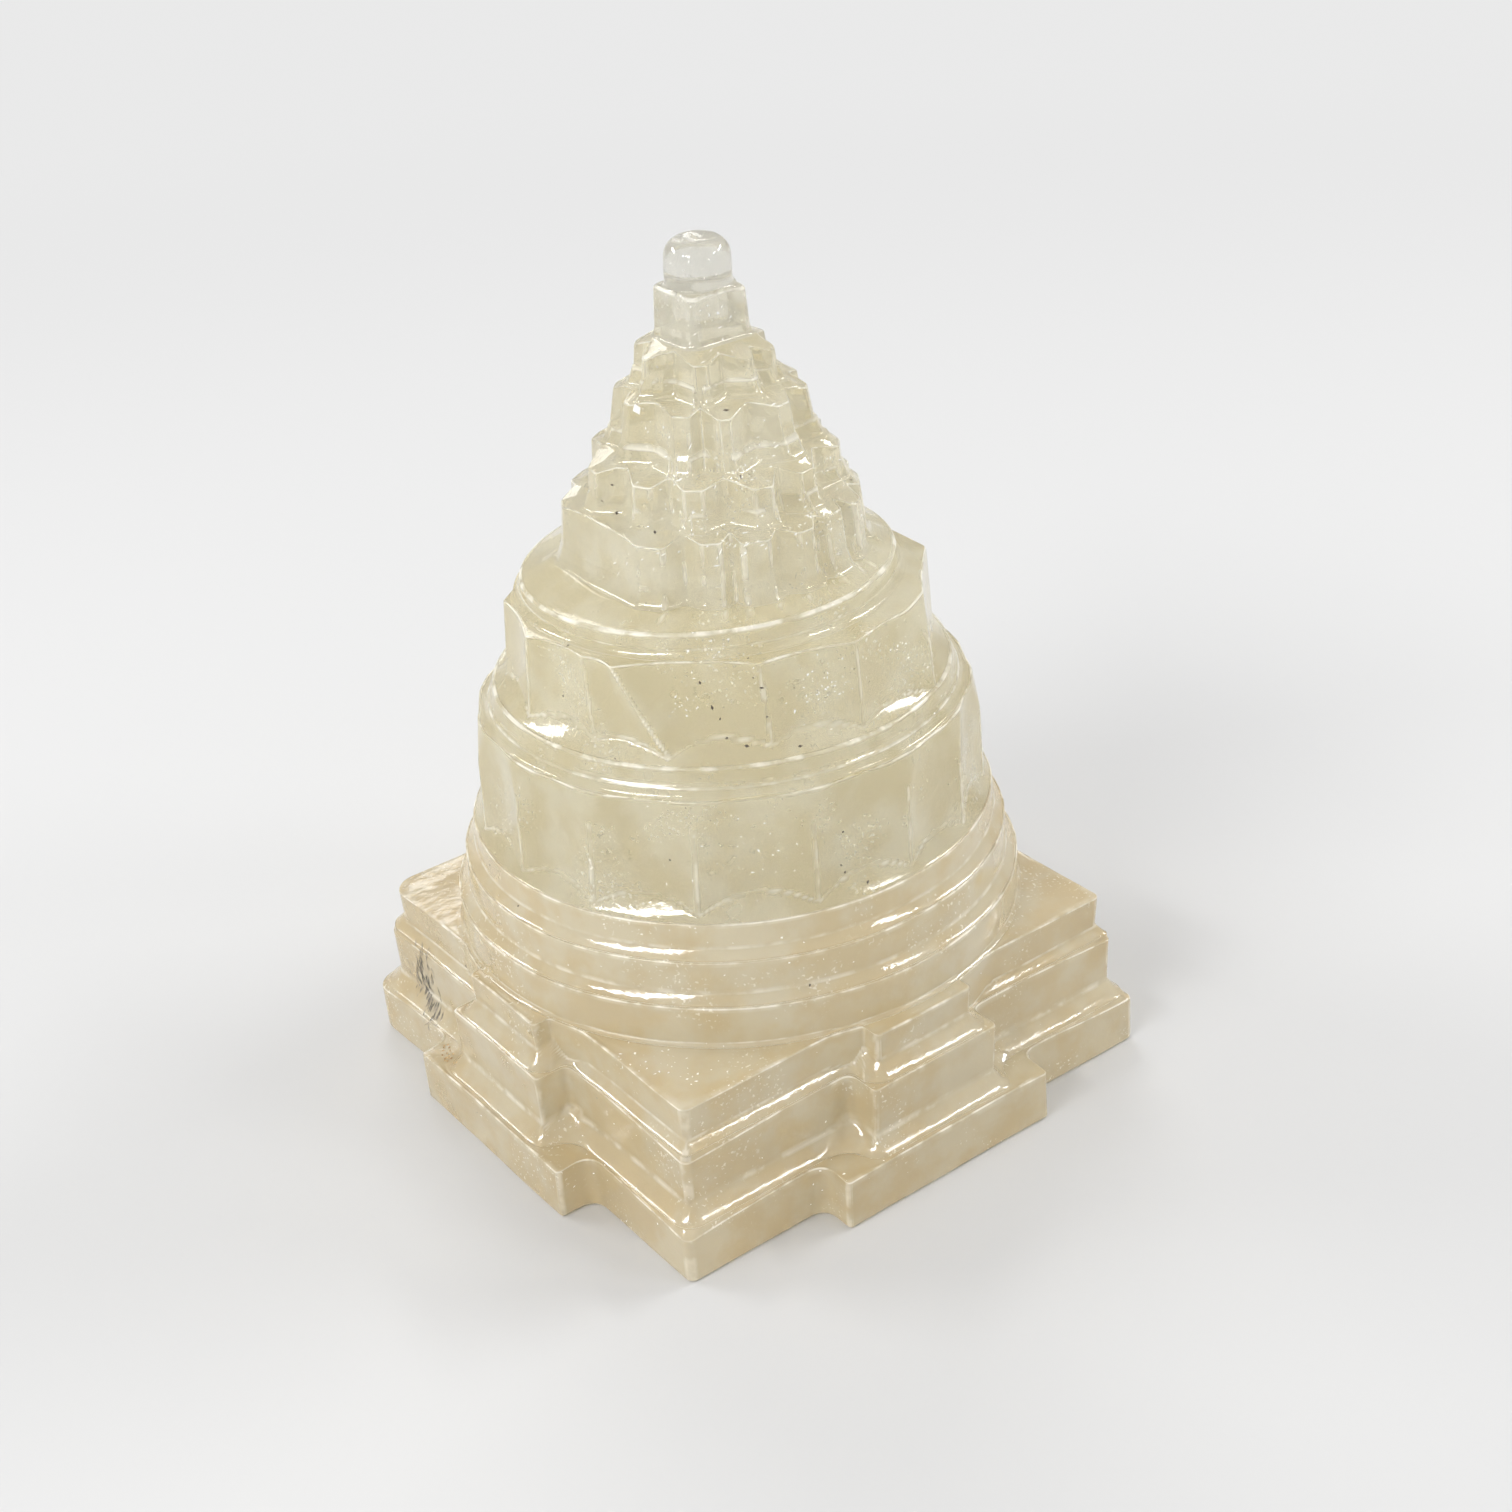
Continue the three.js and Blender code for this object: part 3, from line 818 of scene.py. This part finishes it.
carried = sixteen_foot
for node, foot_radius, top_radius, below, skirt in RINGS:
    def ring_wall(bearings, share, foot_radius=foot_radius, top_radius=top_radius):
        radius = (foot_radius + (top_radius - foot_radius) * share) * MM
        return radius * ground_flat(bearings, RING_FLAT * MM, radius)

    def ring_foot(bearings, inset, wall=ring_wall, below=below, skirt=skirt):
        foot = wall(bearings, 0)
        if below is None:
            edge = outline(upper_step_plan, bearings, 0.25 * MM)
        else:
            edge = (below - 0.2) * MM
            edge = edge * ground_flat(bearings, RING_FLAT * MM, edge)
        return np.clip(edge, foot + 0.02 * MM, foot + skirt * MM) - inset

    ring = carve(node, honey_crystal, all_round(360), ring_wall, ring_foot,
                 (0.9 * MM, 1.0 * MM, 0.8), 0.14 * MM, slope=0.05, carried=carried)
    carried = ring_foot


# Square steps: three lines of the outer square, each with a gate in the middle of every side.
# They are sawn from the warm base of the block, and the lowest one's rim is rounded at the foot.
# Node, half a side, gate's half width and reach, hollow corner beside the gate
STEPS = [
    ("square_step_upper", UPPER_STEP_HALF, UPPER_GATE_HALF, UPPER_GATE_REACH, UPPER_STEP_HOLLOW),
    ("square_step_middle", 28.35 * MM, 8.2 * MM, 32.2 * MM, 1.2 * MM),
    ("square_step_lower", 30.0 * MM, 13.4 * MM, 34.1 * MM, 2.0 * MM),
]
FOOT_ROUND = 0.4 * MM
STEP_SKIRT = 1.3 * MM
# The cove of a step runs round the corners beside its gates in a wider hollow than its wall.
FOOT_HOLLOW = 3.6 * MM
STEP_BATTER = 0.25 * MM


def step_bearings(half, gate, reach, hollow):
    """Bearings all round a step, closer together at its corners and beside its gates."""
    gate_bearing = math.atan2(gate, reach)
    side_bearing = math.atan2(gate + hollow, half)
    close = set(np.round(all_round(360), 6))
    for quarter in range(4):
        for sign in (-1, 1):
            middle = quarter * math.pi / 2 + sign * (gate_bearing + side_bearing) / 2
            spread = (side_bearing - gate_bearing) / 2 + 0.03
            beside = np.mod(middle + np.linspace(-spread, spread, 40), 2 * math.pi)
            close |= set(np.round(beside, 6))
        corner = math.pi / 4 + quarter * math.pi / 2
        close |= set(np.round(corner + np.linspace(-0.06, 0.06, 25), 6))
    close = np.array(sorted(close))
    return close[np.concatenate([np.diff(close), [1]]) > 1e-4]


for level, (node, half, gate, reach, hollow) in enumerate(STEPS):
    on_floor = level == len(STEPS) - 1
    step_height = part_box(node)[1].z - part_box(node)[0].z

    def plan(x, y, half=half, gate=gate, reach=reach, hollow=hollow):
        return step_plan(x, y, half, gate, reach, hollow)

    def foot_plan(x, y, plan=plan, level=level, on_floor=on_floor):
        if on_floor:
            return plan(x, y) + FOOT_ROUND
        edge_below = step_plan(x, y, *STEPS[level + 1][1:])
        return np.maximum(edge_below + 0.25 * MM, plan(x, y, hollow=FOOT_HOLLOW) - STEP_SKIRT)

    def step_wall(bearings, share, plan=plan, on_floor=on_floor, height=step_height):
        near_floor = np.clip(1 - np.mean(share) * height / FOOT_ROUND, 0, 1)
        inset = FOOT_ROUND * (1 - math.sqrt(1 - near_floor ** 2))
        return outline(plan, bearings, inset if on_floor else STEP_BATTER * (1 - np.mean(share)))

    def step_foot(bearings, inset, foot_plan=foot_plan):
        return outline(foot_plan, bearings, inset)

    cove = (0.0, FOOT_ROUND, 1.0) if on_floor else (1.5 * MM, 1.7 * MM, 0.8)
    step = carve(node, honey_crystal, step_bearings(half, gate, reach, hollow), step_wall,
                 step_foot, cove, 0.13 * MM, slope=0.02 if level == 0 else 0.1, carried=carried)
    carried = step_foot


# Dark specks: grains of a dark mineral, set where the photograph shows them and strewn over
# the hidden sides. Each is a small uneven stone of its own, just under the polished skin.
FAR_OUT = 100 * MM
STRAY_SPECKS = 46


def first_hit(start, ahead):
    """Where a line first meets the stone, and which way the stone faces there."""
    hits = [tree.ray_cast(start, ahead) for tree in carved]
    hits = [hit for hit in hits if hit[0] is not None]
    nearest = min(hits, key=lambda hit: hit[3]) if hits else (None, None)
    return nearest[0], nearest[1]


def struck(u, v):
    """Where the line of sight through a pixel of the photograph meets the stone."""
    middle = PHOTO_WIDTH / 2
    ahead = Vector(((u - middle) / FOCAL_PIXELS, (middle - v) / FOCAL_PIXELS, -1))
    return first_hit(camera.location, (camera.matrix_world.to_3x3() @ ahead).normalized())


def level_hit(bearing, height):
    """Where a level line in to the axis meets the stone."""
    inward = Vector((-math.cos(bearing), -math.sin(bearing), 0))
    return first_hit(Vector((0, 0, height)) - inward * FAR_OUT, inward)


def flaw_stone(name, dark, light, scale, rough, thin=None):
    """A mineral or a fracture. thin gives the noise levels between which it fades out."""
    material = bpy.data.materials.new(name)
    material.use_nodes = True
    tree = material.node_tree
    shader = tree.nodes["Principled BSDF"]
    place = Socket(tree, tree.nodes.new("ShaderNodeTexCoord").outputs["Object"])

    def cloud(size):
        made = place.node("ShaderNodeTexNoise", Vector=place, Scale=size, Detail=3.0)
        return Socket(tree, made.outputs["Fac"])

    colour = cloud(scale).step(0.35, 0.65).mix(dark, light)
    tree.links.new(colour.output, shader.inputs["Base Color"])
    shader.inputs["Roughness"].default_value = rough
    if thin:
        fade = cloud(scale * 0.45).step(*thin)
        skin = place.node("ShaderNodeMixShader", i0=fade)
        gone = place.node("ShaderNodeBsdfTransparent")
        tree.links.new(gone.outputs[0], skin.inputs[1])
        tree.links.new(shader.outputs[0], skin.inputs[2])
        tree.links.new(skin.outputs[0], tree.nodes["Material Output"].inputs["Surface"])
    return material


def flaw_piece(name, points, faces, material):
    """One mesh on the root body, held inside the largest width of the stone."""
    def held(x):
        return min(max(x, -LARGEST_HALF), LARGEST_HALF)

    used = sorted({corner for face in faces for corner in face})
    points = [(held(x), held(y), z) for x, y, z in points]
    place = {corner: i for i, corner in enumerate(used)}
    mesh = bpy.data.meshes.new(name)
    mesh.from_pydata([points[corner] for corner in used], [],
                     [[place[corner] for corner in face] for face in faces])
    mesh.materials.append(material)
    piece = bpy.data.objects.new(name, mesh)
    bpy.context.scene.collection.objects.link(piece)
    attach(piece, "root")
    return piece


chance = random.Random(7)


def lump(points, faces, centre, normal, sizes, spin=6.3):
    """Add an uneven stone of eight faces to points and faces, turned at random by up to spin."""
    start = len(points)
    turn = normal.to_track_quat("Z", "Y") @ Quaternion((0, 0, 1), chance.uniform(0, spin))
    for x, y, z in ((1, 0, 0), (0, 1, 0), (-1, 0, 0), (0, -1, 0), (0, 0, 1), (0, 0, -1)):
        size = chance.uniform(0.7, 1.3)
        corner = Vector((x * sizes[0], y * sizes[1], z * sizes[2])) * size
        points.append(tuple(centre + turn @ corner))
    for a, b in ((0, 1), (1, 2), (2, 3), (3, 0)):
        faces.append((start + a, start + b, start + 4))
        faces.append((start + b, start + a, start + 5))


# Places in the photograph
SPECKS = [(748, 658), (753, 678), (762, 688), (767, 717), (727, 738), (700, 683), (712, 708),
          (720, 719), (747, 746), (800, 746), (615, 759), (843, 832), (841, 865), (845, 872),
          (868, 882), (670, 860), (560, 541), (490, 865), (612, 485), (602, 501), (617, 513),
          (655, 532), (597, 1098), (726, 410), (810, 985), (563, 696), (466, 966), (518, 906)]
points, faces = [], []
for u, v in SPECKS:
    spot, normal = struck(u, v)
    size = chance.uniform(0.16, 0.30) * MM
    lump(points, faces, spot - normal * 0.01 * MM, normal, (size, size * 0.6, 0.08 * MM))
for _ in range(STRAY_SPECKS):
    spot, normal = level_hit(chance.uniform(0, 2 * math.pi), chance.uniform(4, 80) * MM)
    size = chance.uniform(0.10, 0.24) * MM
    lump(points, faces, spot - normal * 0.04 * MM, normal, (size, size * 0.6, 0.07 * MM))
flaw_piece("dark_specks", points, faces,
           flaw_stone("speck_mineral", (0.030, 0.022, 0.018), (0.10, 0.07, 0.05), 4000, 0.4))

# Bright flakes: small fractures at the skin, left by the wheel. They are made near white, a
# painted glint for the light that such fractures throw back. They lie in clusters, with longer
# splinters beside the star points and one chip at a star's edge.
# Middle and reach of each cluster in the photograph, and how many flakes
CLUSTERS = [
    (818, 688, 34, 26, 90), (716, 645, 28, 12, 34), (685, 705, 16, 18, 26), (900, 650, 16, 22, 20),
    (690, 520, 22, 18, 30), (800, 520, 26, 30, 34), (752, 470, 14, 22, 24), (820, 470, 16, 14, 12),
    (730, 850, 70, 40, 46), (650, 1060, 34, 14, 44), (700, 1075, 40, 14, 26),
    (620, 1180, 60, 40, 24), (860, 1160, 60, 30, 24), (940, 690, 20, 40, 20),
    (700, 940, 120, 30, 22), (695, 265, 14, 16, 12), (715, 318, 14, 10, 18), (660, 420, 24, 20, 14),
]
SPLINTERS = [(735, 545, 50, 20, 26), (822, 515, 22, 24, 16), (680, 470, 36, 22, 12),
             (765, 450, 30, 34, 14), (700, 345, 34, 20, 9), (640, 560, 30, 14, 8)]
CHIP = (637, 409)
SPREAD = 0.6
STRAY_FLAKES = 420
points, faces = [], []
spots = []
for u, v, wide, high, count in CLUSTERS:
    for _ in range(count):
        place = chance.gauss(u, wide * SPREAD), chance.gauss(v, high * SPREAD)
        spots.append((*struck(*place), 1.5))
for _ in range(STRAY_FLAKES):
    spots.append((*level_hit(chance.uniform(0, 2 * math.pi), chance.uniform(3, 89) * MM), 1.0))
for spot, normal, larger in spots:
    if spot is None:
        continue
    size = larger * 10 ** chance.uniform(-1.2, -0.75) * MM
    centre = spot - normal * chance.choice((0.01, 0.01, 0.25)) * MM
    tilt = (normal + Vector([chance.uniform(-0.1, 0.1) for _ in range(3)])).normalized()
    lump(points, faces, centre, tilt, (size, size * chance.uniform(0.25, 0.7), 0.03 * MM))
for u, v, wide, high, count in SPLINTERS:
    for _ in range(count):
        spot, normal = struck(chance.gauss(u, wide * SPREAD), chance.gauss(v, high * SPREAD))
        if spot is not None:
            long = chance.uniform(0.15, 0.42) * MM
            tilt = (normal + Vector([chance.uniform(-0.2, 0.2) for _ in range(3)])).normalized()
            lump(points, faces, spot, tilt, (long, chance.uniform(0.04, 0.1) * MM, 0.03 * MM), 1.2)
chip, normal = struck(*CHIP)
lump(points, faces, chip, normal, (0.5 * MM, 0.42 * MM, 0.04 * MM))
# Near-white flakes: painted glints
flaw_piece("flakes_painted_glints", points, faces,
           flaw_stone("fracture_painted_glint", (0.98, 0.97, 0.92), (1, 1, 1), 900, 0.12))

# Veils: cloudy fractures that healed while the crystal grew. Each is a thin ragged sheet, bent
# like a shell, a millimetre or two under the skin.
# Place in the photograph, half length and width in millimetres, turn, depth in millimetres
VEILS = [
    (815, 690, 4.6, 3.4, 0.3, 1.3), (712, 640, 3.6, 1.0, 0.0, 0.9), (690, 700, 2.2, 2.6, 0.8, 1.2),
    (755, 480, 2.2, 3.0, 1.2, 1.0), (735, 850, 5.0, 3.0, 0.5, 1.6), (660, 1062, 4.0, 1.4, 0.2, 0.7),
    (600, 860, 3.0, 3.4, 1.0, 1.8), (900, 700, 2.0, 4.0, 0.2, 1.5), (640, 520, 2.4, 2.0, 0.5, 1.2),
    (880, 1130, 5.0, 2.0, 0.4, 1.6), (520, 1120, 5.0, 2.4, 2.6, 1.8),
]
VEIL_GRID = 18
VEIL_LEAN = 0.35
HIDDEN_VEILS = 9
points, faces = [], []


def within(point, margin):
    """Whether a point lies in the stone, further from its side than margin."""
    spot, _ = level_hit(math.atan2(point.y, point.x), point.z)
    return spot is not None and spot.xy.length - point.xy.length > margin


def add_veil(spot, normal, half_length, half_width, turn, depth):
    """Add a veil to points and faces, of those squares of a bent grid that lie in the stone."""
    start = len(points)
    frame_turn = normal.to_track_quat("Z", "Y") @ Quaternion((0, 0, 1), turn)
    frame_turn = frame_turn @ Quaternion((1, 0, 0), VEIL_LEAN)
    for i in range(VEIL_GRID + 1):
        for j in range(VEIL_GRID + 1):
            x = (i / VEIL_GRID * 2 - 1) * half_length * MM
            y = (j / VEIL_GRID * 2 - 1) * half_width * MM
            wave = noise.noise(Vector((x, y, start * MM)) * 320) * 0.35 * MM
            bowl = 0.3 * MM * (x * x + y * y) / (half_length * MM) ** 2
            corner = frame_turn @ Vector((x, y, wave - bowl)) + spot - normal * depth * MM
            points.append(tuple(corner))
    for i in range(VEIL_GRID):
        for j in range(VEIL_GRID):
            a = start + i * (VEIL_GRID + 1) + j
            x, y = ((2 * k + 1) / VEIL_GRID - 1 for k in (i, j))
            ragged = 0.25 * noise.noise(Vector((x * 2, y * 2, start)))
            inside = all(within(Vector(points[k]), 0.2 * MM) for k in (a, a + VEIL_GRID + 2))
            if math.hypot(x, y) < 0.85 + ragged and inside:
                faces.append((a, a + 1, a + VEIL_GRID + 2, a + VEIL_GRID + 1))


for u, v, half_length, half_width, turn, depth in VEILS:
    add_veil(*struck(u, v), half_length, half_width, turn, depth)
for i in range(HIDDEN_VEILS):
    spot, normal = level_hit(math.radians(-60 + 24 * i), (32.6 + 37 * i % 38) * MM)
    add_veil(spot, normal, 3.4, 2.2, i * 0.9, 1.5)
veil_fracture = flaw_stone("veil_fracture", (0.86, 0.83, 0.76), (1.0, 0.99, 0.95), 1600, 0.35,
                           thin=(0.57, 0.80))
flaw_piece("healed_veils", points, faces, veil_fracture)

# Grey fibre: a bundle of mineral needles that comes to the skin between the left gate and the
# worn corner, made of short slivers that lie along one line.
FIBRE = [(420, 962), (424, 974), (427, 986), (431, 998), (436, 1012)]
FIBRE_NEEDLES = 26
points, faces = [], []
for u, v in FIBRE:
    for _ in range(FIBRE_NEEDLES):
        spot, normal = struck(chance.gauss(u, 4.5), chance.gauss(v, 7))
        if spot is not None:
            centre = spot - normal * chance.uniform(0.0, 0.05) * MM
            lump(points, faces, centre, normal, (0.10 * MM, 0.7 * MM, 0.09 * MM), 0.3)
flaw_piece("grey_fibre", points, faces,
           flaw_stone("fibre_mineral", (0.11, 0.10, 0.08), (0.31, 0.275, 0.23), 1500, 0.5))

# Brown pit: a small hole in the lowest step below the fibre, with rust-coloured earth in it
# that the polishing didn't reach.
PIT = (447, 1056)
PIT_GRAINS = 20
points, faces = [], []
for _ in range(PIT_GRAINS):
    spot, normal = struck(chance.gauss(PIT[0], 4), chance.gauss(PIT[1], 5))
    if spot is not None:
        lump(points, faces, spot, normal, (0.13 * MM, 0.18 * MM, 0.08 * MM))
flaw_piece("brown_pit", points, faces,
           flaw_stone("pit_stain", (0.30, 0.16, 0.06), (0.60, 0.42, 0.22), 1800, 0.6))
